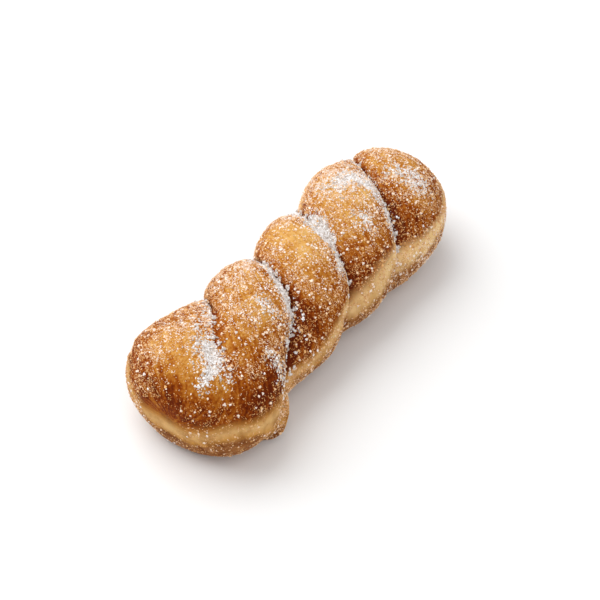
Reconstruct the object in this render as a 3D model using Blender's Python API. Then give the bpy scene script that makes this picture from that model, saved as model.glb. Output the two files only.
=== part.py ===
"""Sugared twist doughnut: a long ring of yeast dough, twisted on itself so that two strands wind together.

Lengths are in metres and turns in degrees. X runs along the twist, from the broad heart-shaped loop at -X
to the rounder loop at +X, and Z is up. The origin is under the middle of the doughnut, on the surface that
it rests on.
"""

import math
import random

import bmesh
import bpy
from mathutils import Euler, Matrix, Vector, noise
from mathutils.bvhtree import BVHTree

# Driving dimensions of the whole doughnut
LENGTH = 0.1640
NEAR_TIP = -LENGTH / 2
FAR_TIP = LENGTH / 2
FLATNESS = 0.768  # height over width: the dough spreads as it proves
FLAT_DEPTH = 0.0025  # how much of the round underside is pressed flat where it rests

# The envelope over the lobes: half its width at five places along the length, before the ends close
SWELL_STATIONS = (-0.8, -0.4, 0.0, 0.4, 0.8)  # as shares of half the length
HALF_WIDTHS = (0.0390, 0.0286, 0.0269, 0.0307, 0.0383)
NEAR_END_POWER = 2.90  # how square the loop at -X is: 2 is an ellipse
FAR_END_POWER = 2.30
NEAR_BEND = -0.0047  # how far each tip lies over to +Y
FAR_BEND = 0.0011
MIDDLE_BEND = -0.0014  # how far the middle does
NEAR_SLANT = -0.04  # how much the loop's end slants: the side at +Y reaches a little further

# The two creases between the strands wind round the X axis. Their turns fall as x grows, so the twist is
# left-handed. A turn of 90 is on top and 180 on the -Y side. The first crease parts lobes 1 and 2, goes under
# and comes back between lobes 3 and 4, and the second parts lobes 2 and 3, and then 4 and 5.
FIRST_CREASE_STATIONS = (NEAR_TIP, -0.0640, -0.0410, -0.0030, 0.0095, 0.0220, 0.0735)
FIRST_CREASE_TURNS = (145, 108, 63, -174, -232, -311, -540)
SECOND_CREASE_STATIONS = (
    NEAR_TIP, -0.0560, -0.0420, -0.0285, -0.0185, -0.0100, 0.0295, 0.0400, 0.0490, 0.0615,
)
SECOND_CREASE_TURNS = (320, 222, 163, 139, 117, 65, -187, -229, -267, -317)

# How deep the creases are, as a share of the envelope
CREASE_DEPTH = 0.22
CREASE_SHARPNESS = 0.95
CREASE_LEAN = 1.25  # over 1, each lobe bulges most near its +X side and overhangs the next one
NEAR_CREASE_START = -0.0690  # the creases run out towards the tips, between these places
NEAR_CREASE_FULL = -0.0565
FAR_CREASE_FULL = 0.0480
FAR_CREASE_START = FAR_TIP

# Grid of the skin: rings along X and points round each, with the rings a little closer together at the ends
RINGS = 84
SIDES = 36
EVEN_SPACING = 0.3

# Dents and swellings of the risen dough
DENT_DEPTH = 0.0007
DENT_SIZE = 0.017

# The tucked-in end of the rope shows as a knob under the second lobe, and a fold bulges behind the fourth
KNOB_RADII = (0.0130, 0.0100, 0.0100)
KNOB_CENTRE = (-0.0533, -0.0194, 0.0122)
FOLD_RADII = (0.0085, 0.0070, 0.0125)
FOLD_CENTRE = (0.0400, 0.0192, 0.0215)
FOLD_TURN = 30
BALL_SEGMENTS = 20
BALL_RINGS = 12

# Clumps of sugar that gather in the creases between the lobes
CLUMPS = 80
CLUMP_TRIES = 4000
CLUMP_RADIUS = (0.0007, 0.0018)
CLUMP_UNEVENNESS = (0.8, 1.2)  # each of a clump's three radii, over its own
CLUMP_SEGMENTS = 6
CLUMP_RINGS = 4
CLUMP_SINK = 0.35  # share of its radius that a clump sits under the crust
CLUMP_GAP = 0.9  # least distance between two clumps, over the sum of their radii
CLUMP_LOWEST = 0.006
CLUMP_SPREAD = 0.08  # how far to each side of a crease the clumps lie, over the width of a strand
CLUMP_CREASE = 0.25  # no clumps where a crease is shallower than this share
CLUMP_SEED = 7

CRUST_COLOUR = (0.56, 0.27, 0.08, 1)
CRUST_ROUGHNESS = 0.55
SUGAR_COLOUR = (0.93, 0.91, 0.87, 1)
SUGAR_ROUGHNESS = 0.35
SMOOTH_ANGLE = math.radians(40)


def eased(stations, values, x):
    """A smooth curve through the values that never overshoots them."""
    steps = [b - a for a, b in zip(stations, stations[1:])]
    slopes = [(values[i + 1] - values[i]) / step for i, step in enumerate(steps)]
    tangents = [slopes[0]]
    for before, after in zip(slopes, slopes[1:]):
        tangents.append(2 * before * after / (before + after) if before * after > 0 else 0)
    tangents.append(slopes[-1])
    if x <= stations[0]:
        return values[0] + tangents[0] * (x - stations[0])
    if x >= stations[-1]:
        return values[-1] + tangents[-1] * (x - stations[-1])
    i = next(i for i, station in enumerate(stations[1:]) if x < station)
    t = (x - stations[i]) / steps[i]
    start = values[i] * (1 + 2 * t) * (1 - t) ** 2 + tangents[i] * steps[i] * t * (1 - t) ** 2
    end = values[i + 1] * t * t * (3 - 2 * t) + tangents[i + 1] * steps[i] * t * t * (t - 1)
    return start + end


def crease_turns(x):
    """Where the two creases are, round the axis at x."""
    first = eased(FIRST_CREASE_STATIONS, FIRST_CREASE_TURNS, x)
    second = eased(SECOND_CREASE_STATIONS, SECOND_CREASE_TURNS, x)
    return math.radians(first), math.radians(second)


def turn_at(x, share):
    """Turn round the axis: share 0 to 1 goes over the first strand, and 1 to 2 over the second."""
    first, second = crease_turns(x)
    if share < 1:
        return first + (second - first) * share
    return second + (first + 2 * math.pi - second) * (share - 1)


def envelope(x):
    """Half the width of a smooth skin stretched over the lobes, closed to a round end at each tip."""
    share = x / FAR_TIP
    power = NEAR_END_POWER if x < 0 else FAR_END_POWER
    closing = max(0, 1 - abs(share) ** power) ** (1 / power)
    return closing * eased(SWELL_STATIONS, HALF_WIDTHS, share)


def crease_share(x):
    """How deep the creases are at x, from 0 near the tips to 1."""
    near = (x - NEAR_CREASE_START) / (NEAR_CREASE_FULL - NEAR_CREASE_START)
    far = (FAR_CREASE_START - x) / (FAR_CREASE_START - FAR_CREASE_FULL)
    return max(0, min(1, near, far))


def skin_point(x, share):
    """Place on the doughnut's surface before it is stood on the floor. A share of 0 or 1 lies in a crease."""
    way = CREASE_SHARPNESS * abs(2 * (share % 1) ** CREASE_LEAN - 1)
    pillow = (1 - math.sqrt(1 - way * way)) / (1 - math.sqrt(1 - CREASE_SHARPNESS ** 2))
    radius = envelope(x) * (1 - CREASE_DEPTH * crease_share(x) * pillow)
    angle = turn_at(x, share)
    slanted = x + NEAR_SLANT * radius * math.cos(angle) * min(x / FAR_TIP, 0) ** 2
    return Vector((slanted, radius * math.cos(angle) + bend(x), radius * math.sin(angle) * FLATNESS))


def bend(x):
    """How far the middle of the twist lies over to +Y."""
    share = abs(x / FAR_TIP)
    return (NEAR_BEND if x < 0 else FAR_BEND) * share ** 3 + MIDDLE_BEND * (1 - share ** 2)


def principled(name, colour, roughness):
    material = bpy.data.materials.new(name)
    material.use_nodes = True
    shader = material.node_tree.nodes["Principled BSDF"]
    shader.inputs["Base Color"].default_value = colour
    shader.inputs["Roughness"].default_value = roughness
    shader.inputs["Metallic"].default_value = 0
    return material


def link(name, data, collection):
    obj = bpy.data.objects.new(name, data)
    collection.objects.link(obj)
    return obj


def make_dough(collection, material):
    """A sphere with its poles at the two tips, whose rings follow the twist and whose points are on the skin.

    Returns the dough and the move that stood it on the floor.
    """
    shape = bmesh.new()
    bmesh.ops.create_uvsphere(shape, u_segments=SIDES, v_segments=RINGS, radius=1)
    for vertex in shape.verts:
        height = max(-1, min(1, vertex.co.z))
        x = FAR_TIP * height * (1 - EVEN_SPACING * (1 - height * height))
        share = (math.atan2(vertex.co.y, vertex.co.x) / math.pi) % 2
        vertex.co = skin_point(x, share)
    bmesh.ops.triangulate(shape, faces=shape.faces, quad_method="SHORT_EDGE")
    bmesh.ops.recalc_face_normals(shape, faces=shape.faces)
    mesh = bpy.data.meshes.new("twist_doughnut")
    shape.to_mesh(mesh)
    shape.free()
    mesh.materials.append(material)
    dent(mesh)
    move = stand_on_floor(mesh)
    return link("twist_doughnut", mesh, collection), move


def dent(mesh):
    """Moves each point a little along its normal, by smooth noise, as risen dough is never even."""
    for vertex in mesh.vertices:
        vertex.co += vertex.normal * DENT_DEPTH * noise.noise(vertex.co / DENT_SIZE)


def stand_on_floor(mesh):
    """Centres the mesh over the origin, presses its lowest FLAT_DEPTH flat, and returns the move."""
    low = Vector(min(vertex.co[axis] for vertex in mesh.vertices) for axis in range(3))
    high = Vector(max(vertex.co[axis] for vertex in mesh.vertices) for axis in range(3))
    middle = (low + high) / 2
    move = Vector((-middle.x, -middle.y, -low.z - FLAT_DEPTH))
    mesh.transform(Matrix.Translation(move))
    for vertex in mesh.vertices:
        vertex.co.z = max(0, vertex.co.z)
    return move


def ball(name, centre, radii, rotation, segments, rings, collection, material):
    shape = bmesh.new()
    bmesh.ops.create_uvsphere(shape, u_segments=segments, v_segments=rings, radius=1)
    mesh = bpy.data.meshes.new(name)
    shape.to_mesh(mesh)
    shape.free()
    mesh.transform(Matrix.LocRotScale(Vector(centre), rotation, Vector(radii)))
    mesh.materials.append(material)
    return link(name, mesh, collection)


def join(obj, extras):
    """Joins every object of a collection to obj by one union, then removes them."""
    union = obj.modifiers.new("union", "BOOLEAN")
    union.operation = "UNION"
    union.operand_type = "COLLECTION"
    union.collection = extras
    union.solver = "EXACT"
    union.material_mode = "TRANSFER"
    evaluated = obj.evaluated_get(bpy.context.evaluated_depsgraph_get())
    mesh = bpy.data.meshes.new_from_object(evaluated)
    obj.modifiers.clear()
    obj.data = mesh
    for extra in list(extras.objects):
        bpy.data.objects.remove(extra)


def add_clumps(obj, move, extras, material):
    """Sugar clumps in the creases, the first ones that fit with room between them."""
    tree = BVHTree.FromObject(obj, bpy.context.evaluated_depsgraph_get())
    draw = random.Random(CLUMP_SEED)
    placed = []
    for _ in range(CLUMP_TRIES):
        x = draw.uniform(NEAR_TIP, FAR_TIP)
        share = draw.randint(0, 1) + draw.uniform(-CLUMP_SPREAD, CLUMP_SPREAD)
        if math.sin(turn_at(x, share % 2)) < 0 or crease_share(x) < draw.uniform(CLUMP_CREASE, 1):
            continue
        place, normal, _, _ = tree.find_nearest(skin_point(x, share % 2) + move)
        radius = draw.uniform(*CLUMP_RADIUS)
        if place.z < CLUMP_LOWEST:
            continue
        middle = place + normal * radius * (1 - 2 * CLUMP_SINK)
        if any((middle - other).length < CLUMP_GAP * (radius + size) for other, size in placed):
            continue
        placed.append((middle, radius))
        radii = [radius * draw.uniform(*CLUMP_UNEVENNESS) for _ in range(3)]
        rotation = Euler([draw.uniform(0, math.pi) for _ in range(3)]).to_quaternion()
        name = f"clump_{len(placed)}"
        ball(name, middle, radii, rotation, CLUMP_SEGMENTS, CLUMP_RINGS, extras, material)
        if len(placed) == CLUMPS:
            break


def main():
    for obj in list(bpy.data.objects):
        bpy.data.objects.remove(obj)
    doughnut = bpy.data.collections.new("Twist doughnut")
    extras = bpy.data.collections.new("Fused pieces")
    for collection in (doughnut, extras):
        bpy.context.scene.collection.children.link(collection)
    crust = principled("crust", CRUST_COLOUR, CRUST_ROUGHNESS)
    sugar = principled("sugar", SUGAR_COLOUR, SUGAR_ROUGHNESS)
    dough, move = make_dough(doughnut, crust)
    level = Euler((0, 0, 0)).to_quaternion()
    turned = Euler((0, 0, math.radians(FOLD_TURN))).to_quaternion()
    ball("knob", KNOB_CENTRE, KNOB_RADII, level, BALL_SEGMENTS, BALL_RINGS, extras, crust)
    ball("fold", FOLD_CENTRE, FOLD_RADII, turned, BALL_SEGMENTS, BALL_RINGS, extras, crust)
    join(dough, extras)
    add_clumps(dough, move, extras, sugar)
    join(dough, extras)
    dough.data.shade_smooth()
    dough.data.set_sharp_from_angle(angle=SMOOTH_ANGLE)


main()
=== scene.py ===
"""Looks of the sugared twist doughnut: its fried crust, its pale band, and the sugar that clings to it.

Lengths are in metres and turns in degrees, in the frame of the solids. The crust is the solid's own skin on a
finer grid, with the creases, wrinkles and dimples of the real dough. Every sugar crystal is a small block or
shard of true size.
"""

import math
import random

import bpy
import numpy as np
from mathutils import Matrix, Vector, noise
from mathutils.bvhtree import BVHTree


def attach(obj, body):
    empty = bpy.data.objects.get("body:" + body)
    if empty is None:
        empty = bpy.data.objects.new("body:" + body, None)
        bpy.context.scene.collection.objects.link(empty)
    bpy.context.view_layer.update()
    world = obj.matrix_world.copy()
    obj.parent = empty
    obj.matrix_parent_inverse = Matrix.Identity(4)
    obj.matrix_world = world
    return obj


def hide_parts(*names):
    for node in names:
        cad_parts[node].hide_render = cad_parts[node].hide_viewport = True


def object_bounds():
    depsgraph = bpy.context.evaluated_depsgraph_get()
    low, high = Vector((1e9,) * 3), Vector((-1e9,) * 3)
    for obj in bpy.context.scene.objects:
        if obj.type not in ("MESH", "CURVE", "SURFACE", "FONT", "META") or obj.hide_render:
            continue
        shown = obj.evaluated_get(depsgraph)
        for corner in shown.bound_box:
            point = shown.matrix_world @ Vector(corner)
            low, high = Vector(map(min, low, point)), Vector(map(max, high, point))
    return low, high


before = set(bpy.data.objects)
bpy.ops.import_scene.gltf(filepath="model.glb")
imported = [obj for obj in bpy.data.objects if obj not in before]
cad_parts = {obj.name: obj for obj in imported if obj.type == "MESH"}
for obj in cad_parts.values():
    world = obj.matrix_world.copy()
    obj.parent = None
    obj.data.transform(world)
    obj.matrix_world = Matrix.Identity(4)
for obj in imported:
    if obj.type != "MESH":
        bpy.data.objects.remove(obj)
cad_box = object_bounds()

# Form of the doughnut, as in its solid
LENGTH = 0.1640
NEAR_TIP = -LENGTH / 2
FAR_TIP = LENGTH / 2
FLATNESS = 0.768
FLAT_DEPTH = 0.0025
SWELL_STATIONS = (-0.8, -0.4, 0.0, 0.4, 0.8)
HALF_WIDTHS = (0.0390, 0.0286, 0.0269, 0.0307, 0.0383)
NEAR_END_POWER = 2.90
FAR_END_POWER = 2.30
NEAR_BEND = -0.0047
FAR_BEND = 0.0011
MIDDLE_BEND = -0.0014
NEAR_SLANT = -0.04
FIRST_CREASE_STATIONS = (NEAR_TIP, -0.0640, -0.0410, -0.0030, 0.0095, 0.0220, 0.0735)
FIRST_CREASE_TURNS = (145, 108, 63, -174, -232, -311, -540)
SECOND_CREASE_STATIONS = (
    NEAR_TIP, -0.0560, -0.0420, -0.0285, -0.0185, -0.0100, 0.0295, 0.0400, 0.0490, 0.0615,
)
SECOND_CREASE_TURNS = (320, 222, 163, 139, 117, 65, -187, -229, -267, -317)
CREASE_DEPTH = 0.22
CREASE_SHARPNESS = 0.95
CREASE_LEAN = 1.25
NEAR_CREASE_START = -0.0690
NEAR_CREASE_FULL = -0.0565
FAR_CREASE_FULL = 0.0480
FAR_CREASE_START = FAR_TIP
EVEN_SPACING = 0.3
DENT_DEPTH = 0.0007
DENT_SIZE = 0.017
KNOB = {"centre": (-0.0533, -0.0194, 0.0122), "radii": (0.0130, 0.0100, 0.0100), "turn": 0}
FOLD = {"centre": (0.0400, 0.0192, 0.0215), "radii": (0.0085, 0.0070, 0.0125), "turn": 30}

# Grid of the fine skin, with its points closer together in the creases
RINGS = 330
SIDES = 216
CREASE_GATHER = 0.65
NO_CREASE = 1  # distance from a crease that the two poles are given, which is further than any counts

# Relief of the crust, pressed inwards so that it stays within the solid's box
GROOVE_DEPTH = 0.0021
GROOVE_WIDTHS = (0.0026, 0.0005)  # on the +X side of a crease, and on its -X side
# The cleft of the loop is a soft valley, filled a little, and from there the grooves deepen to full
CLEFT_STATIONS = (-0.047, -0.035)
CLEFT_FILL = 0.0021
CLEFT_WIDTH = 0.0026
SEAM_DEPTH = 0.0010  # round the knob and the fold, where they leave the skin
SEAM_WIDTH = 0.0006
HEAP_LIFT = 0.0008
HEAP_EDGE = 0.0035
HEAP_FULLNESS = 1.1
WRINKLE_DEPTH = 0.0005
WRINKLE_LENGTH = 0.011
WRINKLE_WIDTH = 0.0032
PIMPLE_DEPTH = 0.00022
PIMPLE_SIZE = 0.0021
STRAND_WIDTH = 0.085  # of a strand from crease to crease, for the wrinkles
BOX_GAP = 0.0001  # how far the skin stays inside the solid's box
LEAST_REACH = 0.0001  # a point nearer to the axis counts as this far from it
TINY = 1e-12

# Seeds of the smooth noises, and how far each seed shifts the noise
DENT_NOISE = 0
WRINKLE_NOISE = 3
PIMPLE_NOISE = 5
PATCH_NOISE = 7
SPOT_NOISE = 9
HEAP_NOISE = 11
NOISE_SHIFT = (3.7, 1.3, 5.1)

# The pale frying line on each of the two strands: its middle and half its thickness along X, as shares of the
# doughnut's height
FIRST_LINE_STATIONS = (-0.0818, -0.0790, -0.0750, -0.0620, -0.0460, 0.0020, 0.0120, 0.0200, 0.0300, 0.0820)
FIRST_LINE_HEIGHTS = (0.40, 0.52, 0.575, 0.52, 0.52, 0.51, 0.55, 0.635, 0.67, 0.60)
FIRST_LINE_HALVES = (0.10, 0.07, 0.070, 0.068, 0.060, 0.090, 0.090, 0.080, 0.065, 0.060)
SECOND_LINE_STATIONS = (-0.0818, -0.0790, -0.0750, -0.0620, -0.0400, -0.0280, -0.0190, -0.0120, -0.0040,
                        0.0280, 0.0380, 0.0450, 0.0550, 0.0820)
SECOND_LINE_HEIGHTS = (0.40, 0.52, 0.58, 0.54, 0.495, 0.43, 0.46, 0.545, 0.62, 0.58, 0.555, 0.555, 0.59, 0.58)
SECOND_LINE_HALVES = (0.10, 0.07, 0.070, 0.074, 0.050, 0.070, 0.070, 0.060, 0.050,
                      0.095, 0.075, 0.070, 0.055, 0.055)
# On the knob the line lies lower and is thicker, and beside a crease, on its +X side, it pinches out into
# darker crust as painted shade
KNOB_LINE_HEIGHT = 0.32
KNOB_LINE_HALF = 0.19
KNOB_REACH = 1.3  # how far the knob's own colours reach, over its radii
LINE_SHADE_PINCH = 0.0030

# How golden the crust is, from 0 for deep brown to 1 for yellow: by the share of the height, and more or less
# along X
GOLDEN_HEIGHTS = (0.50, 0.62, 0.75, 0.85, 0.95, 1.00)
GOLDEN_BY_HEIGHT = (0.30, 0.17, 0.17, 0.38, 0.63, 0.72)
GOLDEN_STATIONS = (-0.080, -0.060, -0.030, 0.000, 0.030, 0.060)
GOLDEN_ALONG = (0.00, -0.03, 0.01, 0.10, 0.03, 0.10)
# Painted shade, with some of the crust's own deeper brown: darker in the recess beside a crease and at the
# seams
FLANK_PAINTED_SHADE = 0.42
RECESS_WIDTH = 0.008
RIM_WIDTH = 0.0015
RIM_PAINTED_SHADE = 0.5
SEAM_PAINTED_SHADE = 0.4
# The side away from the front is lighter, from the middle of the doughnut to this far out
AWAY_WIDTH = 0.018
AWAY_STATIONS = (-0.070, -0.050, -0.030)
AWAY_GOLDEN = (0.04, 0.08, 0.20)
# How pale the frying line is, from 0 for amber to 1 for cream: along X, in its middle, and on the knob
LINE_PALE_STATIONS = (-0.036, 0.048)
PALE_ALONG = 0.75
PALE_MIDDLE = 0.35
KNOB_AMBER = 0.5
# The crust counts as this golden, at least, for the sugar on the far lobes' pale line and below it
PALE_SIDE_GOLDEN = 0.55

# How densely the loose sugar lies along X, in patches and spots, at different heights and in special places
SUGAR_SEED = 21
SUGARED_STATIONS = (-0.080, -0.060, -0.040, -0.020, 0.000, 0.020, 0.040, 0.070)
SUGARED = (0.9, 0.95, 1.3, 1.15, 0.95, 1.0, 1.1, 1.0)
UNDERSIDE = 0.0015
UPPER_HEIGHTS = (0.5, 0.85)
PATCH_SIZE = 0.009
SPOT_SIZE = 0.0019
MEAN_SPREAD = 0.55
LEAST_SPREAD = 0.1
PATCH_SPREAD = 0.6
SPOT_SPREAD = 1.2
LOWER_SPREAD = 0.65  # below the top, at the loop and the middle
FAR_LOWER_SPREAD = 0.55  # so much more at the far tip
RIM_SPREAD = 0.5  # on the edge of each lobe that overhangs a crease
SUGARED_RIM_WIDTH = 0.003
KNOB_SPREAD = 1.3
DRIFT_SPREAD = 0.9
AWAY_SPREAD = 0.5
BARE_SHARE = 0.8
GROOVE_SHARE = 0.75  # so much less beside a crease
GROOVE_BARE_WIDTH = 0.0045
DRIFT_MEAN = 0.75
DRIFT_SPOTS = 0.8

# How drifted the sugar counts as on a lobe's rim and on the knob, from 0 to 1, which makes it whiter
RIM_DRIFT = 0.35
KNOB_DRIFT = 0.6

# How densely the blocks of sugar lie in the heaps, in the drifts and on the rims
HEAPED_PACKED = 1.2
HEAPED_DRIFTED = 0.35
HEAPED_RIM = 0.3

# Mounds on the clumps, and the clumps by the same rule as in the solid
MOUND_CRYSTAL = 0.0003
MOUND_SHARE = 0.35
MOUND_REACH = (0.2, 0.85)
MOUND_SIZES = (1.6, 2.4)
MOUND_WHITENESS = (0.3, 1)
CLUMPS = 80
CLUMP_TRIES = 4000
CLUMP_RADIUS = (0.0007, 0.0018)
CLUMP_SINK = 0.35
CLUMP_GAP = 0.9
CLUMP_LOWEST = 0.006
CLUMP_SPREAD = 0.08
CLUMP_CREASE = 0.25
CLUMP_SEED = 7
CLUMP_SHAPE_DRAWS = 6  # three radii and three turns

# Where sugar lies on the top: a line on the plan from one place to another, and how wide it lies to each
# side. In the heaps it is packed so deep that no crust shows, and the drifts are looser.
HEAPS = (
    ((-0.0600, -0.0030), (-0.0635, -0.0075), 0.0020),
    ((-0.0680, -0.0105), (-0.0695, -0.0108), 0.0015),
    ((-0.0090, 0.0110), (-0.0140, 0.0020), 0.0008),
    ((-0.0140, 0.0020), (-0.0190, -0.0060), 0.0011),
    ((-0.0200, -0.0080), (-0.0225, -0.0120), 0.0009),
    ((0.0190, 0.0085), (0.0165, 0.0030), 0.0026),
    ((0.0165, 0.0030), (0.0140, -0.0030), 0.0021),
    ((0.0140, -0.0030), (0.0080, -0.0130), 0.0010),
    ((0.0400, 0.0105), (0.0455, 0.0080), 0.0014),
    ((0.0455, 0.0080), (0.0448, -0.0010), 0.0011),
)
DRIFTS = (
    ((-0.0600, -0.0010), (-0.0670, -0.0120), 0.0042),
    ((-0.0700, -0.0110), (-0.0730, -0.0110), 0.0022),
    ((-0.0120, 0.0070), (-0.0260, -0.0160), 0.0016),
    ((-0.0300, -0.0040), (-0.0320, -0.0090), 0.0022),
    ((-0.0455, -0.0210), (-0.0470, -0.0270), 0.0026),
    ((0.0185, 0.0070), (0.0140, -0.0030), 0.0024),
    ((0.0120, -0.0070), (0.0050, -0.0150), 0.0012),
    ((0.0380, 0.0110), (0.0460, 0.0070), 0.0050),
    ((0.0460, 0.0080), (0.0450, 0.0010), 0.0028),
    ((0.0450, 0.0010), (0.0410, -0.0110), 0.0020),
    ((0.0410, -0.0110), (0.0360, -0.0165), 0.0014),
    ((0.0285, -0.0075), (0.0275, -0.0110), 0.0028),
    ((0.0595, -0.0030), (0.0600, -0.0130), 0.0040),
)
# Where the crust has stayed nearly bare, and where it is the most golden, in the same way
BARE = (
    ((0.0030, 0.0020), (0.0060, 0.0150), 0.0070),
    ((-0.0785, 0.0000), (-0.0760, -0.0120), 0.0070),
    ((-0.0760, -0.0120), (-0.0680, -0.0240), 0.0080),
    ((-0.0320, -0.0080), (-0.0391, -0.0118), 0.0028),
    ((-0.0391, -0.0118), (-0.0508, -0.0148), 0.0034),
    ((-0.0540, -0.0060), (-0.0500, -0.0130), 0.0050),
    ((-0.0480, -0.0240), (-0.0550, -0.0262), 0.0028),
)
GOLDEN_SPOTS = (
    ((0.0020, 0.0000), (0.0060, 0.0170), 0.0070),
    ((-0.0420, 0.0020), (-0.0400, 0.0120), 0.0060),
)
GOLDEN_SPOT = 0.18
# Painted shade of small hollows in the crust, placed in the same way
SHADED_HOLLOWS = (
    ((0.0550, 0.0120), (0.0510, 0.0070), 0.0020),
)
HOLLOW_PAINTED_SHADE = 0.45


def near_lines(points, lines):
    """For points on the plan, how near they are to the nearest of the lines: 1 on it, falling to 0."""
    nearness = np.zeros(points.shape[:-1])
    for start, end, width in lines:
        way = np.array(end) - np.array(start)
        along = np.clip((points[..., :2] - np.array(start)) @ way / (way @ way), 0, 1)
        gap = np.linalg.norm(points[..., :2] - np.array(start) - along[..., None] * way, axis=-1)
        nearness = np.maximum(nearness, np.exp(-(gap / width) ** 2))
    return nearness


def share_between(value, ends):
    """How far a value is from the first end to the second, from 0 to 1."""
    return np.clip((value - ends[0]) / (ends[1] - ends[0]), 0, 1)


def eased(stations, values, x):
    """A smooth curve through the values that never overshoots them, and runs straight on past both ends."""
    stations = np.array(stations)
    values = np.array(values, float)
    steps = np.diff(stations)
    slopes = np.diff(values) / steps
    before, after = slopes[:-1], slopes[1:]
    same_way = before * after > 0
    inner = np.where(same_way, 2 * before * after / np.where(same_way, before + after, 1), 0)
    tangents = np.concatenate([slopes[:1], inner, slopes[-1:]])
    i = np.clip(np.searchsorted(stations, x, side="right") - 1, 0, len(steps) - 1)
    way = (x - stations[i]) / steps[i]
    t = np.clip(way, 0, 1)
    start = values[i] * (1 + 2 * t) * (1 - t) ** 2 + tangents[i] * steps[i] * t * (1 - t) ** 2
    end = values[i + 1] * t * t * (3 - 2 * t) + tangents[i + 1] * steps[i] * t * t * (t - 1)
    past = (way - t) * steps[i] * np.where(way > 1, tangents[-1], tangents[0])
    return start + end + past


def strand_turns(x):
    """Turns of the first crease, the second, and the first again one turn on."""
    first = np.radians(eased(FIRST_CREASE_STATIONS, FIRST_CREASE_TURNS, x))
    second = np.radians(eased(SECOND_CREASE_STATIONS, SECOND_CREASE_TURNS, x))
    return first, second, first + 2 * math.pi


def turn_at(x, share):
    """Turn round the axis: share 0 to 1 goes over the first strand, and 1 to 2 over the second."""
    first, second, again = strand_turns(x)
    return np.where(share < 1, first + (second - first) * share, second + (again - second) * (share - 1))


def envelope(x):
    """Half the width of a smooth skin stretched over the lobes, closed to a round end at each tip."""
    share = x / FAR_TIP
    power = np.where(x < 0, NEAR_END_POWER, FAR_END_POWER)
    closing = np.maximum(0, 1 - np.abs(share) ** power) ** (1 / power)
    return closing * eased(SWELL_STATIONS, HALF_WIDTHS, share)


def crease_share(x):
    """How deep the creases are at x, from 0 near the tips to 1."""
    near = (x - NEAR_CREASE_START) / (NEAR_CREASE_FULL - NEAR_CREASE_START)
    far = (FAR_CREASE_START - x) / (FAR_CREASE_START - FAR_CREASE_FULL)
    return np.clip(np.minimum(near, far), 0, 1)


def bend(x):
    """How far the middle of the twist lies over to +Y."""
    share = np.abs(x / FAR_TIP)
    return np.where(x < 0, NEAR_BEND, FAR_BEND) * share ** 3 + MIDDLE_BEND * (1 - share ** 2)


def skin_radius(x, share):
    """How far the skin is from the axis, before it is flattened."""
    way = CREASE_SHARPNESS * np.abs(2 * (share % 1) ** CREASE_LEAN - 1)
    pillow = (1 - np.sqrt(1 - way * way)) / (1 - math.sqrt(1 - CREASE_SHARPNESS ** 2))
    return envelope(x) * (1 - CREASE_DEPTH * crease_share(x) * pillow)


def skin_points(x, share):
    """Places on the skin before it is stood on the floor. A share of 0 or 1 lies in a crease."""
    radius = skin_radius(x, share)
    angle = turn_at(x, share)
    y = radius * np.cos(angle) + bend(x)
    z = radius * np.sin(angle) * FLATNESS
    slanted = x + NEAR_SLANT * radius * np.cos(angle) * np.minimum(x / FAR_TIP, 0) ** 2
    return np.stack(np.broadcast_arrays(slanted, y, z), axis=-1)


def crease_distances(x, share):
    """How far each point of the skin is from the crease on its -X side, and from the one on its +X side."""
    first, second, again = strand_turns(x)
    width = np.where(share < 1, np.abs(second - first), np.abs(again - second)) * skin_radius(x, share)
    return share % 1 * width, (1 - share % 1) * width


def smooth_noise(points, size, seed):
    """Smooth noise of about -1 to 1 at each point, with lumps of that size."""
    offset = Vector([seed * shift for shift in NOISE_SHIFT])
    scaled = points.reshape(-1, 3) / np.asarray(size)
    values = [noise.noise(Vector(point) + offset) for point in scaled.tolist()]
    return np.array(values).reshape(points.shape[:-1])


def grid_faces(rings, sides):
    """Quads between the rings of a closed skin, and a fan of triangles at each pole."""
    faces = []
    for ring in range(rings - 1):
        for side in range(sides):
            after = (side + 1) % sides
            here, ahead = ring * sides, (ring + 1) * sides
            faces.append((here + side, ahead + side, ahead + after, here + after))
    near_pole = rings * sides
    far_pole = near_pole + 1
    last = (rings - 1) * sides
    for side in range(sides):
        after = (side + 1) % sides
        faces.append((near_pole, side, after))
        faces.append((far_pole, last + after, last + side))
    return faces


def new_piece(name, points, faces, material):
    """A mesh object that rides on the body and stands for the solid."""
    mesh = bpy.data.meshes.new(name)
    mesh.from_pydata(points.reshape(-1, 3).tolist(), [], faces)
    mesh.materials.append(material)
    piece = bpy.data.objects.new(name, mesh)
    bpy.context.scene.collection.objects.link(piece)
    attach(piece, "root")
    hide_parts("twist_doughnut")
    return piece


def put_attribute(mesh, name, values, kind="FLOAT"):
    """Stores one value, or one vector, for each point of a mesh."""
    layer = mesh.attributes.new(name, kind, "POINT")
    field = "vector" if kind == "FLOAT_VECTOR" else "value"
    layer.data.foreach_set(field, np.ascontiguousarray(values, dtype=np.float32).ravel())


def outward(points, faces):
    """Unit normals of a mesh's points."""
    mesh = bpy.data.meshes.new("normals")
    mesh.from_pydata(points.tolist(), [], faces)
    normals = np.empty(len(points) * 3, dtype=np.float32)
    mesh.vertices.foreach_get("normal", normals)
    bpy.data.meshes.remove(mesh)
    return normals.reshape(-1, 3).astype(float)


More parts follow.
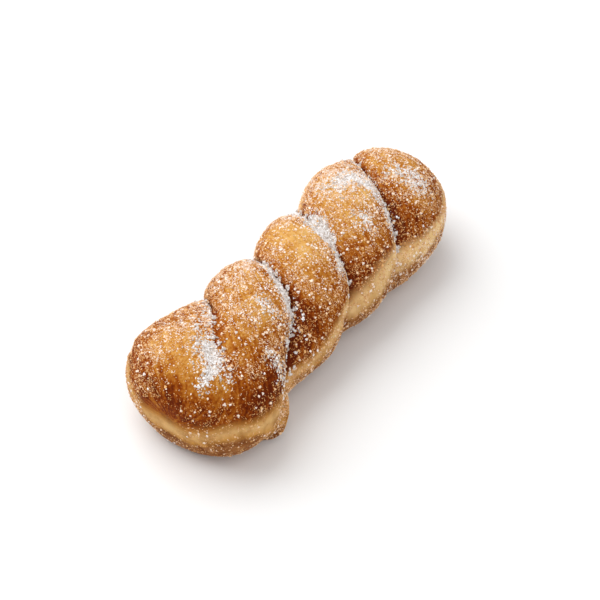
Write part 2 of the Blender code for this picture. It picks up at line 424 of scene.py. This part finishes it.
def push_out(points, centres, ball, move):
    """Points of the skin that a ball of dough would poke through are moved out onto it, away from the axis.

    Also says how near each point is to the seam where the ball leaves the skin.
    """
    turn = math.radians(ball["turn"])
    level = np.array([[math.cos(turn), math.sin(turn), 0], [-math.sin(turn), math.cos(turn), 0], [0, 0, 1]])
    radii = np.array(ball["radii"])
    start = (centres + move - np.array(ball["centre"])) @ level.T / radii
    way = (points - centres) @ level.T / radii
    a = (way * way).sum(-1)
    b = (start * way).sum(-1)
    c = (start * start).sum(-1) - 1
    inside = b * b - a * c
    reach = np.where(inside > 0, (-b + np.sqrt(np.maximum(inside, 0))) / np.maximum(a, TINY), 0)
    out = points - centres
    seam = np.exp(-((reach - 1) * np.linalg.norm(out, axis=-1) / SEAM_WIDTH) ** 2)
    return centres + out * np.maximum(1, reach)[..., None], seam


def skin_grid():
    """Station and share of each point of the fine grid, by rings and sides."""
    pitch = np.linspace(0, math.pi, RINGS + 2)[1:-1]
    height = -np.cos(pitch)[:, None]
    x = FAR_TIP * height * (1 - EVEN_SPACING * (1 - height * height))
    even = np.arange(SIDES)[None, :] * 2 / SIDES
    share = (even - CREASE_GATHER * np.sin(2 * math.pi * even) / (2 * math.pi)) % 2
    return np.broadcast_arrays(x, share)


def with_poles(values, at_poles):
    """Values of the grid in one list, followed by those of its two poles."""
    return np.concatenate([values.reshape(-1, *values.shape[2:]), at_poles])


def groove_depths(points, creases, seam):
    """How deep the grooves are between the lobes and round both balls, less what fills the cleft."""
    after, before, open_crease = creases
    distance = np.minimum(after / GROOVE_WIDTHS[0], before / GROOVE_WIDTHS[1])
    past_cleft = share_between(points[:, 0], CLEFT_STATIONS)
    groove = GROOVE_DEPTH * open_crease * past_cleft * np.exp(-distance ** 2)
    filled = CLEFT_FILL * open_crease * (1 - past_cleft) * np.exp(-np.minimum(after, before) / CLEFT_WIDTH)
    return np.maximum(groove, SEAM_DEPTH * seam) - filled


def golden_share_with_shade(points, height, creases, seam):
    """How golden the crust is, from 0 for deep brown to 1 for yellow, less painted shade beside the creases,
    at the seams and in small hollows.
    """
    after, before, open_crease = creases
    x = points[:, 0]
    # Painted shade beside each crease, on the rim over it and at the seams, taken off the golden tone
    recess_shade = open_crease * np.maximum(np.exp(-after / RECESS_WIDTH), RIM_PAINTED_SHADE * np.exp(-before / RIM_WIDTH))
    recess_shade = np.maximum(recess_shade, SEAM_PAINTED_SHADE * seam)
    golden = eased(GOLDEN_HEIGHTS, GOLDEN_BY_HEIGHT, np.maximum(height, GOLDEN_HEIGHTS[0]))
    golden = golden + eased(GOLDEN_STATIONS, GOLDEN_ALONG, x) - FLANK_PAINTED_SHADE * recess_shade
    # Painted shade of small hollows, taken off the golden tone of the upper crust
    spots = GOLDEN_SPOT * near_lines(points, GOLDEN_SPOTS) - HOLLOW_PAINTED_SHADE * near_lines(points, SHADED_HOLLOWS)
    away = eased(AWAY_STATIONS, AWAY_GOLDEN, np.clip(x, AWAY_STATIONS[0], AWAY_STATIONS[-1]))
    return golden + spots * (height > UPPER_HEIGHTS[0]) + away * share_between(points[:, 1], (0, AWAY_WIDTH))


def knob_share(points):
    """How much each point is on the knob: 1 on it, falling to 0."""
    reach = np.linalg.norm((points - np.array(KNOB["centre"])) / np.array(KNOB["radii"]), axis=1)
    return np.exp(-(reach / KNOB_REACH) ** 4)


def places_above_line(x, height, on_first, on_knob, creases):
    """How far each point is above the middle of its strand's frying line, over half the line's thickness,
    counted higher beside a crease as painted shade.
    """
    after, _, open_crease = creases
    first = [eased(FIRST_LINE_STATIONS, values, x) for values in (FIRST_LINE_HEIGHTS, FIRST_LINE_HALVES)]
    second = [eased(SECOND_LINE_STATIONS, values, x) for values in (SECOND_LINE_HEIGHTS, SECOND_LINE_HALVES)]
    line, half = np.where(on_first, first, second)
    line = line + on_knob * (KNOB_LINE_HEIGHT - line)
    half = half + on_knob * (KNOB_LINE_HALF - half)
    # Painted shade: beside a crease the point counts as higher, so the pale line gives way to darker crust
    return (height - line) / half + open_crease * np.exp(-after / LINE_SHADE_PINCH)


def make_crust(material):
    """The fine skin. Returns what the sugar needs to know of it, as grids of rings by sides."""
    x, share = skin_grid()
    poles = np.array([[tip, float(bend(np.array(tip))), 0] for tip in (NEAR_TIP, FAR_TIP)])
    points = with_poles(skin_points(x, share), poles)
    faces = grid_faces(RINGS, SIDES)
    dents = DENT_DEPTH * smooth_noise(points, DENT_SIZE, DENT_NOISE)
    points = points + outward(points, faces) * dents[:, None]
    low, high = points.min(0), points.max(0)
    move = np.array([-(low[0] + high[0]) / 2, -(low[1] + high[1]) / 2, -low[2] - FLAT_DEPTH])
    centres = np.stack([points[:, 0], bend(points[:, 0]), np.zeros(len(points))], axis=-1)
    seam = np.zeros(len(points))
    for ball in (KNOB, FOLD):
        points, round_ball = push_out(points, centres, ball, move)
        seam = np.maximum(seam, round_ball)

    after, before = (with_poles(distance, [NO_CREASE, NO_CREASE]) for distance in crease_distances(x, share))
    open_crease = with_poles(crease_share(x), [0, 0])
    creases = (after, before, open_crease)
    packed = near_lines(points + move, HEAPS) * (points[:, 2] > 0)
    packed = np.clip(packed * HEAP_FULLNESS * (1 + smooth_noise(points, HEAP_EDGE, HEAP_NOISE)), 0, 1)
    strand = with_poles(np.stack([x, share * STRAND_WIDTH, np.zeros_like(x)], axis=-1), poles)
    strand = strand / np.array([WRINKLE_LENGTH, WRINKLE_WIDTH, 1])
    wrinkle = np.abs(smooth_noise(strand, 1, WRINKLE_NOISE)) * WRINKLE_DEPTH
    pimple = (1 + smooth_noise(points, PIMPLE_SIZE, PIMPLE_NOISE)) / 2 * PIMPLE_DEPTH
    relief = outward(points, faces) * (HEAP_LIFT * packed - wrinkle - pimple)[:, None]
    inwards = centres - points
    inwards = inwards / np.maximum(np.linalg.norm(inwards, axis=1, keepdims=True), LEAST_REACH)
    grooves = inwards * (groove_depths(points, creases, seam) * (1 - packed))[:, None]
    points = points + relief + grooves + move
    points[:, 2] = np.maximum(points[:, 2], 0)
    lowest = np.array(cad_box[0]) + BOX_GAP * np.array([1, 1, 0])
    points = np.clip(points, lowest, np.array(cad_box[1]) - BOX_GAP)

    piece = new_piece("dough", points, faces, material)
    mesh = piece.data
    mesh.shade_smooth()
    height = points[:, 2] / points[:, 2].max()
    golden = golden_share_with_shade(points, height, creases, seam)
    on_first = with_poles(share < 1, [True, True])
    on_knob = knob_share(points)
    above_line = places_above_line(points[:, 0], height, on_first, on_knob, creases)
    along = share_between(points[:, 0], LINE_PALE_STATIONS)
    pale = np.clip(PALE_ALONG * along + PALE_MIDDLE * (1 - np.abs(above_line)), 0, 1)
    pale = pale * (1 - KNOB_AMBER * on_knob)
    # The golden attribute holds the crust's tone together with its painted shade in the creases, at the seams
    # and in the hollows
    put_attribute(mesh, "golden", golden)
    put_attribute(mesh, "above_line", above_line)
    put_attribute(mesh, "packed", packed)
    put_attribute(mesh, "pale", pale)
    put_attribute(mesh, "strand", strand, "FLOAT_VECTOR")
    on_pale_side = PALE_SIDE_GOLDEN * along * np.clip(1 - above_line, 0, 1)
    skin = {
        "points": points,
        "normals": outward(points, faces),
        "after": after,
        "before": before,
        "open_crease": open_crease,
        "height": height,
        "golden": np.clip(np.maximum(golden, on_pale_side), 0, 1),
        "packed": packed,
        "knob": on_knob,
    }
    for name, values in skin.items():
        skin[name] = values[:-len(poles)].reshape(RINGS, SIDES, *values.shape[1:])
    skin["clumps"] = clump_places(points, faces, move)
    return skin


def clump_places(points, faces, move):
    """Middles and radii of the sugar clumps in the creases, by the same seeded rule as in the solid."""
    tree = BVHTree.FromPolygons(points.tolist(), faces)
    draw = random.Random(CLUMP_SEED)
    placed = []
    for _ in range(CLUMP_TRIES):
        x = draw.uniform(NEAR_TIP, FAR_TIP)
        share = (draw.randint(0, 1) + draw.uniform(-CLUMP_SPREAD, CLUMP_SPREAD)) % 2
        if math.sin(turn_at(x, share)) < 0 or crease_share(x) < draw.uniform(CLUMP_CREASE, 1):
            continue
        place, normal, _, _ = tree.find_nearest(Vector(skin_points(np.array(x), np.array(share)) + move))
        radius = draw.uniform(*CLUMP_RADIUS)
        if place.z < CLUMP_LOWEST:
            continue
        middle = place + normal * radius * (1 - 2 * CLUMP_SINK)
        if any((middle - other).length < CLUMP_GAP * (radius + size) for other, size in placed):
            continue
        placed.append((middle, radius))
        for _ in range(CLUMP_SHAPE_DRAWS):
            draw.random()
        if len(placed) == CLUMPS:
            break
    return placed


def scatter(skin, density, count, draw):
    """That many points, spread over the skin in proportion to the density.

    Gives their places and normals, and how drifted the sugar and how golden the crust is there, painted shade
    included.
    """
    points = skin["points"]
    ahead = np.roll(points, -1, axis=1)
    along = points[1:] - points[:-1]
    across = ahead[:-1] - points[:-1]
    area = np.linalg.norm(np.cross(along, across), axis=-1)
    weight = np.cumsum((area * density[:-1]).ravel())
    picks = np.searchsorted(weight, draw.random(count) * weight[-1])
    ring, side = np.unravel_index(np.minimum(picks, area.size - 1), area.shape)
    u, v = draw.random((2, count, 1))
    after = (side + 1) % points.shape[1]

    def between(values):
        near = values[ring, side] * (1 - v) + values[ring, after] * v
        far = values[ring + 1, side] * (1 - v) + values[ring + 1, after] * v
        return near * (1 - u) + far * u

    normals = between(skin["normals"])
    normals = normals / np.linalg.norm(normals, axis=1, keepdims=True)
    drift, golden = (between(skin[name][..., None])[:, 0] for name in ("drift", "golden"))
    return between(points), normals, drift, golden


def random_turns(count, draw):
    """Random rotation matrices."""
    w, x, y, z = np.moveaxis(draw.normal(size=(count, 4)), -1, 0)
    size = np.sqrt(w * w + x * x + y * y + z * z)
    w, x, y, z = w / size, x / size, y / size, z / size
    rows = [
        [1 - 2 * (y * y + z * z), 2 * (x * y - z * w), 2 * (x * z + y * w)],
        [2 * (x * y + z * w), 1 - 2 * (x * x + z * z), 2 * (y * z - x * w)],
        [2 * (x * z - y * w), 2 * (y * z + x * w), 1 - 2 * (x * x + y * y)],
    ]
    return np.moveaxis(np.array(rows), -1, 0)


# The two shapes of crystal, each reaching about 1 to every side of its middle
BLOCK = {
    "corners": np.array([(x, y, z) for x in (-1, 1) for y in (-1, 1) for z in (-1, 1)], float),
    "faces": np.array([(0, 1, 3, 2), (4, 6, 7, 5), (0, 4, 5, 1), (2, 3, 7, 6), (0, 2, 6, 4), (1, 5, 7, 3)]),
}
SHARD_REACH = 1.1
SHARD = {
    "corners": SHARD_REACH * np.array([(1, 1, 1), (1, -1, -1), (-1, 1, -1), (-1, -1, 1)]),
    "faces": np.array([(0, 1, 2), (0, 3, 1), (0, 2, 3), (1, 3, 2)]),
}
CRYSTAL_STRETCH = (0.7, 1.15)
CRYSTAL_UNEVENNESS = (-0.18, 0.18)

# The kinds of loose sugar. The lift is how far the middle of a crystal is above the crust, over its size. An
# evenness under 1 levels out the density. The whiteness is drawn from a range, times a share that grows with
# how golden the crust is, painted shade of the creases, seams and hollows included, and more is added in a
# drift.
LOOSE_KINDS = {
    "sugar_fine": {
        "shape": SHARD,
        "count": 49000,
        "evenness": 1,
        "sizes": (0.00022, 0.00038),
        "lift": 0.1,
        "whiteness": (0, 0.75),
        "golden": (0.2, 1.0),
        "drift": 0.4,
    },
    "sugar_middle": {
        "shape": SHARD,
        "count": 45000,
        "evenness": 1,
        "sizes": (0.00034, 0.00054),
        "lift": 0.15,
        "whiteness": (0.2, 1.15),
        "golden": (0.25, 1.05),
        "drift": 0.3,
    },
    "sugar_coarse": {
        "shape": BLOCK,
        "count": 1900,
        "evenness": 0.5,
        "sizes": (0.00060, 0.00095),
        "lift": 0.1,
        "whiteness": (0.3, 0.9),
        "golden": (1, 0),
        "drift": 0,
    },
}
# The sugar of the heaps, in the same way, with its lift in metres
HEAPED_COUNT = 16000
HEAPED_SIZES = (0.0004, 0.0007)
HEAPED_LIFTS = (-0.0001, 0.0006)
HEAPED_WHITENESS = (0.1, 1.0)
HEAPED_DRIFT = 0.15


def make_crystals(name, places, sizes, whiteness, shape, draw, material):
    """One piece of sugar: an uneven crystal at each place, turned at random, all inside the solid's box."""
    corners, faces = shape["corners"], shape["faces"]
    count = len(places)
    crystals = corners[None] * draw.uniform(*CRYSTAL_STRETCH, (count, 1, 3))
    crystals = crystals * (1 + draw.uniform(*CRYSTAL_UNEVENNESS, (count, len(corners), 3)))
    crystals = np.einsum("nij,nkj->nki", random_turns(count, draw), crystals) * (sizes / 2)[:, None, None]
    crystals = crystals + places[:, None, :]
    inside = ((crystals > np.array(cad_box[0])) & (crystals < np.array(cad_box[1]))).all(axis=(1, 2))
    crystals = crystals[inside]
    first_corners = np.arange(len(crystals)) * len(corners)
    all_faces = (faces[None] + first_corners[:, None, None]).reshape(-1, faces.shape[1])
    piece = new_piece(name, crystals, all_faces.tolist(), material)
    put_attribute(piece.data, "whiteness", np.repeat(whiteness[inside], len(corners)))


def nodes_of(material):
    material.use_nodes = True
    tree = material.node_tree
    return tree.nodes, tree.links, tree.nodes["Principled BSDF"]


def math_node(nodes, links, operation, a, b):
    node = nodes.new("ShaderNodeMath")
    node.operation = operation
    for socket, value in zip(node.inputs, (a, b)):
        if isinstance(value, (int, float)):
            socket.default_value = value
        else:
            links.new(value, socket)
    return node.outputs[0]


def ramp(nodes, links, source, stops):
    """Colours by a value, from stops that each hold a position and a colour."""
    node = nodes.new("ShaderNodeValToRGB")
    elements = node.color_ramp.elements
    while len(elements) > 1:
        elements.remove(elements[-1])
    elements[0].position, elements[0].color = stops[0][0], (*stops[0][1], 1)
    for position, colour in stops[1:]:
        elements.new(position).color = (*colour, 1)
    links.new(source, node.inputs["Fac"])
    return node.outputs["Color"]


def edge(nodes, links, value, black, white):
    """From 0 where the value is that of black to 1 where it is that of white."""
    return ramp(nodes, links, value, sorted([(black, (0, 0, 0)), (white, (1, 1, 1))]))


def noise_node(nodes, links, where, grain):
    node = nodes.new("ShaderNodeTexNoise")
    node.inputs["Scale"].default_value, node.inputs["Detail"].default_value = grain
    links.new(where, node.inputs["Vector"])
    return node.outputs["Fac"]


def mix_colour(nodes, links, share, a, b):
    """From colour a to colour b by the share. A colour is a socket or three numbers."""
    node = nodes.new("ShaderNodeMix")
    node.data_type = "RGBA"
    share_in, a_in, b_in = node.inputs[0], node.inputs[6], node.inputs[7]
    links.new(share, share_in)
    for socket, colour in ((a_in, a), (b_in, b)):
        if isinstance(colour, tuple):
            socket.default_value = (*colour, 1)
        else:
            links.new(colour, socket)
    return node.outputs[2]


def attribute(nodes, name, output="Fac"):
    node = nodes.new("ShaderNodeAttribute")
    node.attribute_name = name
    return node.outputs[output]


# Colours of the crust from deep brown to yellow, of the frying line in amber and in cream, of the rim below
# it, and of packed sugar, darkened as painted shade of the gaps between its crystals
DEEP_BROWN = (0.11, 0.013, 0.001)
RED_BROWN = (0.21, 0.034, 0.001)
ORANGE_BROWN = (0.34, 0.088, 0.006)
GOLDEN = (0.47, 0.180, 0.024)
YELLOW = (0.61, 0.30, 0.070)
STRAW = (0.70, 0.40, 0.125)
AMBER_SHADE = (0.36, 0.145, 0.028)
AMBER = (0.58, 0.28, 0.060)
CREAM_SHADE = (0.80, 0.50, 0.20)
CREAM = (0.96, 0.72, 0.39)
RIM_BROWN = (0.34, 0.135, 0.04)
RIM_SHADE = (0.19, 0.055, 0.010)
PACKED_SUGAR_SHADED = (0.36, 0.30, 0.27)
CRUST_STOPS = [
    (0.0, DEEP_BROWN),
    (0.2, RED_BROWN),
    (0.4, ORANGE_BROWN),
    (0.62, GOLDEN),
    (0.84, YELLOW),
    (1.0, STRAW),
]
AMBER_STOPS = [(0.35, AMBER_SHADE), (0.62, AMBER)]
CREAM_STOPS = [(0.35, CREAM_SHADE), (0.62, CREAM)]
RIM_STOPS = [(0.35, RIM_SHADE), (0.65, RIM_BROWN)]
# Colours of the crystals by how white they are: the crust shows through the clearest loose ones
LOOSE_SUGAR = [
    (0.0, (0.50, 0.17, 0.03)),
    (0.35, (0.82, 0.48, 0.19)),
    (0.65, (0.97, 0.79, 0.62)),
    (1.0, (0.96, 0.94, 0.96)),
]
HEAPED_SUGAR = [(0.0, (0.38, 0.29, 0.24)), (0.5, (0.70, 0.63, 0.58)), (1.0, (0.97, 0.96, 0.97))]

# Mottling of the crust: how fine each noise is, with its levels of detail. The streaks run along the strands.
BROAD_GRAIN = (60, 2)
MIDDLE_GRAIN = (210, 4)
FINE_GRAIN = (1000, 3)
STREAK_GRAIN = (1.3, 3)
NOISE_MEAN = 0.5
# How much the mottling changes the tone, the edges of the frying line and those of packed sugar
TONE_BROAD = 0.7
TONE_MIDDLE = 0.8
TONE_STREAKS = 0.8
TONE_FINE = 0.8
LINE_BROAD = 0.12
LINE_MIDDLE = 0.15
COVER_MIDDLE = 0.8
COVER_FINE = 1.2
# The level is LINE_LEVEL in the middle of the frying line, and goes up or down by LINE_HALF at its edges
LINE_LEVEL = 0.5
LINE_HALF = 0.1
ABOVE_LINE = (0.56, 0.66)
BELOW_LINE = (0.42, 0.34)
COVERED = (0.35, 0.55)
CRUST_GLOSS = {
    "Roughness": 0.55,
    "Specular IOR Level": 0.04,
    "Subsurface Weight": 0.10,
    "Subsurface Radius": (1.0, 0.45, 0.15),
    "Subsurface Scale": 0.002,
}
BUMP = {"Strength": 0.8, "Distance": 0.0005}
SUGAR_GLOSS = {"Roughness": 0.2, "IOR": 1.5, "Specular IOR Level": 0.35}
FLOOR_LOOK = {"Base Color": (0.93, 0.93, 0.93, 1), "Roughness": 0.9}


def set_inputs(node, values):
    for name, value in values.items():
        node.inputs[name].default_value = value


def scaled(nodes, links, value, middle, factor):
    """(value - middle) * factor."""
    return math_node(nodes, links, "MULTIPLY", math_node(nodes, links, "SUBTRACT", value, middle), factor)


def total(nodes, links, *values):
    """The sum of all the values."""
    result = values[0]
    for value in values[1:]:
        result = math_node(nodes, links, "ADD", result, value)
    return result


def crust_material():
    """Fried crust: golden on top and darker on the sides, darker still in the creases with painted shade, and
    with the pale line round it.
    """
    material = bpy.data.materials.new("fried_crust")
    nodes, links, shader = nodes_of(material)
    where = nodes.new("ShaderNodeTexCoord").outputs["Object"]
    broad = noise_node(nodes, links, where, BROAD_GRAIN)
    middle = noise_node(nodes, links, where, MIDDLE_GRAIN)
    fine = noise_node(nodes, links, where, FINE_GRAIN)
    streaks = noise_node(nodes, links, attribute(nodes, "strand", "Vector"), STREAK_GRAIN)
    level = total(
        nodes, links,
        scaled(nodes, links, attribute(nodes, "above_line"), 0, LINE_HALF),
        scaled(nodes, links, broad, NOISE_MEAN, LINE_BROAD),
        scaled(nodes, links, middle, NOISE_MEAN, LINE_MIDDLE),
        LINE_LEVEL,
    )
    tone = total(
        nodes, links,
        attribute(nodes, "golden"),
        scaled(nodes, links, broad, NOISE_MEAN, TONE_BROAD),
        scaled(nodes, links, middle, NOISE_MEAN, TONE_MIDDLE),
        scaled(nodes, links, streaks, NOISE_MEAN, TONE_STREAKS),
        scaled(nodes, links, fine, NOISE_MEAN, TONE_FINE),
    )
    cover = total(
        nodes, links,
        attribute(nodes, "packed"),
        scaled(nodes, links, middle, NOISE_MEAN, COVER_MIDDLE),
        scaled(nodes, links, fine, NOISE_MEAN, COVER_FINE),
    )
    crust = ramp(nodes, links, tone, CRUST_STOPS)
    amber = ramp(nodes, links, middle, AMBER_STOPS)
    cream = ramp(nodes, links, middle, CREAM_STOPS)
    rim = ramp(nodes, links, middle, RIM_STOPS)
    line = mix_colour(nodes, links, attribute(nodes, "pale"), amber, cream)
    colour = mix_colour(nodes, links, edge(nodes, links, level, *ABOVE_LINE), line, crust)
    colour = mix_colour(nodes, links, edge(nodes, links, level, *BELOW_LINE), colour, rim)
    # Packed sugar in painted shade: darker than the sugar itself, standing for the shadows between its
    # crystals
    colour = mix_colour(nodes, links, edge(nodes, links, cover, *COVERED), colour, PACKED_SUGAR_SHADED)
    links.new(colour, shader.inputs["Base Color"])
    set_inputs(shader, CRUST_GLOSS)
    bump = nodes.new("ShaderNodeBump")
    set_inputs(bump, BUMP)
    links.new(total(nodes, links, fine, middle, streaks), bump.inputs["Height"])
    links.new(bump.outputs["Normal"], shader.inputs["Normal"])
    return material


def sugar_material(name, stops):
    """Sugar crystals, coloured by how white each is."""
    material = bpy.data.materials.new(name)
    nodes, links, shader = nodes_of(material)
    links.new(ramp(nodes, links, attribute(nodes, "whiteness"), stops), shader.inputs["Base Color"])
    set_inputs(shader, SUGAR_GLOSS)
    return material


def floor_material():
    material = bpy.data.materials.new("floor")
    _, _, shader = nodes_of(material)
    set_inputs(shader, FLOOR_LOOK)
    return material


FLOOR_REACH = 3


def make_floor():
    """A plain pale floor, which is no part of the doughnut."""
    mesh = bpy.data.meshes.new("floor")
    corners = [(x * FLOOR_REACH, y * FLOOR_REACH, 0) for x, y in ((-1, -1), (1, -1), (1, 1), (-1, 1))]
    mesh.from_pydata(corners, [], [(0, 1, 2, 3)])
    mesh.materials.append(floor_material())
    floor = bpy.data.objects.new("floor", mesh)
    bpy.context.scene.collection.objects.link(floor)


# Camera, as the photograph was taken
CAMERA_ELEVATION = 45.3
CAMERA_AZIMUTH = -53.6
CAMERA_DISTANCE = 0.716
CAMERA_TARGET = (0, 0, 0.0210)
PIXELS_PER_METRE = 2598
IMAGE_SIZE = 600
TARGET_PIXEL = (301.25, 288.2)
SENSOR = 36
NEAREST_SEEN = 0.01

# The two soft lights, placed by the camera's own directions, and the light from all round
KEY = {"right": -0.50, "up": 0.75, "back": 0.28, "size": 1.3, "power": 10.6}
FILL = {"right": 0.3, "up": 0.2, "back": 1.0, "size": 0.8, "power": 2.4}
LIGHT_ALL_ROUND = 0.56


def make_camera():
    data = bpy.data.cameras.new("camera")
    data.sensor_width = SENSOR
    data.lens = PIXELS_PER_METRE * CAMERA_DISTANCE * SENSOR / IMAGE_SIZE
    data.shift_x = (IMAGE_SIZE / 2 - TARGET_PIXEL[0]) / IMAGE_SIZE
    data.shift_y = (TARGET_PIXEL[1] - IMAGE_SIZE / 2) / IMAGE_SIZE
    data.clip_start = NEAREST_SEEN
    elevation = math.radians(CAMERA_ELEVATION)
    azimuth = math.radians(CAMERA_AZIMUTH)
    level = math.cos(elevation)
    back = Vector((math.sin(azimuth) * level, -math.cos(azimuth) * level, math.sin(elevation)))
    camera = bpy.data.objects.new("camera", data)
    camera.location = Vector(CAMERA_TARGET) + back * CAMERA_DISTANCE
    camera.rotation_euler = (-back).to_track_quat("-Z", "Y").to_euler()
    bpy.context.scene.collection.objects.link(camera)
    bpy.context.scene.camera = camera
    return camera


def area_light(name, camera, light_values):
    """A soft square light, aimed at the doughnut."""
    data = bpy.data.lights.new(name, "AREA")
    data.shape = "SQUARE"
    data.size = light_values["size"]
    data.energy = light_values["power"]
    light = bpy.data.objects.new(name, data)
    turn = camera.rotation_euler.to_matrix()
    offset = turn @ Vector([light_values[way] for way in ("right", "up", "back")])
    light.location = Vector(CAMERA_TARGET) + offset
    light.rotation_euler = (-offset).to_track_quat("-Z", "Y").to_euler()
    bpy.context.scene.collection.objects.link(light)


def make_light(camera):
    area_light("key", camera, KEY)
    area_light("fill", camera, FILL)
    world = bpy.data.worlds.new("studio")
    world.use_nodes = True
    set_inputs(world.node_tree.nodes["Background"], {"Color": (1, 1, 1, 1), "Strength": LIGHT_ALL_ROUND})
    bpy.context.scene.world = world
    bpy.context.scene.view_settings.view_transform = "Standard"


def sugar_densities(skin):
    """How densely loose and heaped sugar lie on the skin. Also adds to the skin how drifted it is."""
    points, packed = skin["points"], skin["packed"]
    patches = smooth_noise(points, PATCH_SIZE, PATCH_NOISE)
    spots = smooth_noise(points, SPOT_SIZE, SPOT_NOISE)
    lying = points[..., 2] > UNDERSIDE
    upper = share_between(skin["height"], UPPER_HEIGHTS)
    rim = skin["open_crease"] * np.exp(-skin["before"] / SUGARED_RIM_WIDTH)
    drifted = near_lines(points, DRIFTS) * upper
    drifted = drifted * np.clip(DRIFT_MEAN + DRIFT_SPOTS * spots, LEAST_SPREAD, 1)
    drift = np.maximum(drifted, packed) + RIM_DRIFT * rim * upper + KNOB_DRIFT * skin["knob"]
    skin["drift"] = np.clip(drift, 0, 1)

    groove = skin["open_crease"] * np.exp(-(skin["after"] / GROOVE_BARE_WIDTH) ** 2) * (1 - packed)
    lower = LOWER_SPREAD + FAR_LOWER_SPREAD * share_between(points[..., 0], (0, FAR_TIP))
    away = share_between(points[..., 1], (0, AWAY_WIDTH))
    loose = np.clip(MEAN_SPREAD + PATCH_SPREAD * patches + SPOT_SPREAD * spots, LEAST_SPREAD, None)
    loose = loose * (lower + (1 - lower) * upper + RIM_SPREAD * rim + KNOB_SPREAD * skin["knob"])
    loose = loose * (1 - BARE_SHARE * near_lines(points, BARE)) * (1 + DRIFT_SPREAD * drifted)
    loose = loose * (1 - GROOVE_SHARE * groove) * lying
    loose = loose * eased(SUGARED_STATIONS, SUGARED, points[..., 0]) * (1 + AWAY_SPREAD * away)
    heaped = (HEAPED_PACKED * packed + HEAPED_DRIFTED * drifted + HEAPED_RIM * rim * upper) * lying
    return loose, heaped


def make_loose_sugar(name, kind, skin, density, draw, material):
    """One kind of loose sugar, whiter where the crust is golden and in the drifts, and darker where the crust
    carries painted shade.
    """
    places, normals, drift, golden = scatter(skin, density ** kind["evenness"], kind["count"], draw)
    sizes = draw.uniform(*kind["sizes"], kind["count"])
    # The tint follows the crust's golden tone, painted shade included
    tint = kind["golden"][0] + kind["golden"][1] * golden
    whiteness = np.clip(draw.uniform(*kind["whiteness"], kind["count"]) * tint + kind["drift"] * drift, 0, 1)
    places = places + normals * (sizes * kind["lift"])[:, None]
    make_crystals(name, places, sizes, whiteness, kind["shape"], draw, material)


def make_heaped_sugar(skin, density, draw, material):
    """The blocks of sugar that lie on each other in the heaps, in the drifts and along the rims."""
    places, normals, drift, _ = scatter(skin, density, HEAPED_COUNT, draw)
    sizes = draw.uniform(*HEAPED_SIZES, HEAPED_COUNT)
    lifts = draw.uniform(*HEAPED_LIFTS, HEAPED_COUNT)
    whiteness = np.clip(draw.uniform(*HEAPED_WHITENESS, HEAPED_COUNT) + HEAPED_DRIFT * drift, 0, 1)
    make_crystals("sugar_creases", places + normals * lifts[:, None], sizes, whiteness, BLOCK, draw, material)


def make_mounds(placed, draw, material):
    """Crystals heaped in a rough ball at each clump."""
    places = []
    for middle, radius in placed:
        count = int(MOUND_SHARE * (radius / MOUND_CRYSTAL) ** 3)
        way = draw.normal(size=(count, 3))
        way = way / np.linalg.norm(way, axis=1, keepdims=True)
        places.append(np.array(middle) + way * radius * draw.uniform(*MOUND_REACH, (count, 1)))
    places = np.concatenate(places)
    sizes = draw.uniform(*MOUND_SIZES, len(places)) * MOUND_CRYSTAL
    whiteness = draw.uniform(*MOUND_WHITENESS, len(places))
    make_crystals("sugar_clumps", places, sizes, whiteness, BLOCK, draw, material)


def make_sugar(skin):
    """All the sugar, kind by kind."""
    draw = np.random.default_rng(SUGAR_SEED)
    loose_sugar = sugar_material("granulated_sugar", LOOSE_SUGAR)
    heaped_sugar = sugar_material("heaped_sugar", HEAPED_SUGAR)
    loose, heaped = sugar_densities(skin)
    for name, kind in LOOSE_KINDS.items():
        make_loose_sugar(name, kind, skin, loose, draw, loose_sugar)
    make_heaped_sugar(skin, heaped, draw, heaped_sugar)
    make_mounds(skin["clumps"], draw, heaped_sugar)


make_sugar(make_crust(crust_material()))
make_floor()
make_light(make_camera())
